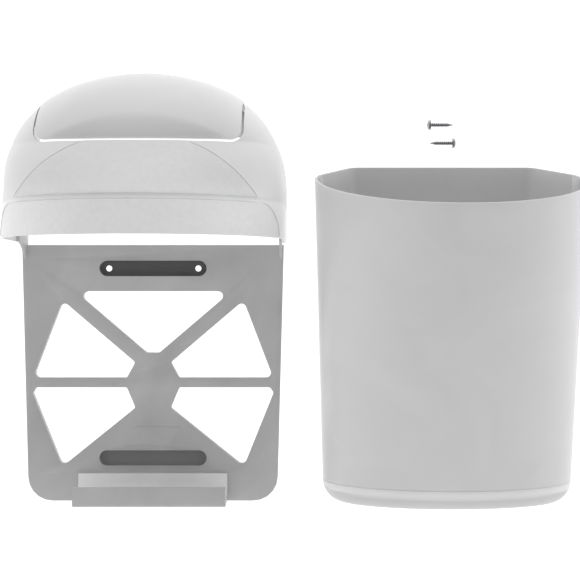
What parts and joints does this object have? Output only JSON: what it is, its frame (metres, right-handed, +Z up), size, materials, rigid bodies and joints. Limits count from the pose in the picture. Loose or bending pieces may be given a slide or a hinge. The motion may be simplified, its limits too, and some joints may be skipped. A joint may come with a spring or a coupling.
{
  "type": "wall-mounted waste bin",
  "caption": "Hooded waste bin for a wall or door: windowed back plate with a ledge, domed hood with a lift-up flap, tapered D-shaped bin set beside it, and loose screws.",
  "frame": {"origin": "on the wall plane, midway between the two wall screw holes", "axes": "+X to the right seen from the front, +Y into the wall, +Z up; the front faces -Y"},
  "size_m": [0.4512, 0.172, 0.341],
  "materials": {
    "plate_plastic": "fine satin, moulded",
    "white_plastic": "satin, moulded, with a finely grained panel",
    "bin_plastic": "satin, moulded",
    "plated_steel": "bright zinc plate"
  },
  "bodies": {
    "bracket": {"back_plate": "plate_plastic", "hood": "white_plastic", "wall_screws": "plated_steel"},
    "flap": {"flap": "white_plastic"},
    "bin": {"bin": "bin_plastic"}
  },
  "joints": [
    {"name": "flap_hinge", "type": "hinge", "parent": "bracket", "child": "flap", "pos_m": [0, -0.02, 0.1352], "axis": [-1, 0, 0], "range_deg": [0, 65]},
    {"name": "bin_pull", "type": "slide", "parent": "bracket", "child": "bin", "axis": [0, -1, 0], "range_m": [0, 0.18]}
  ]
}
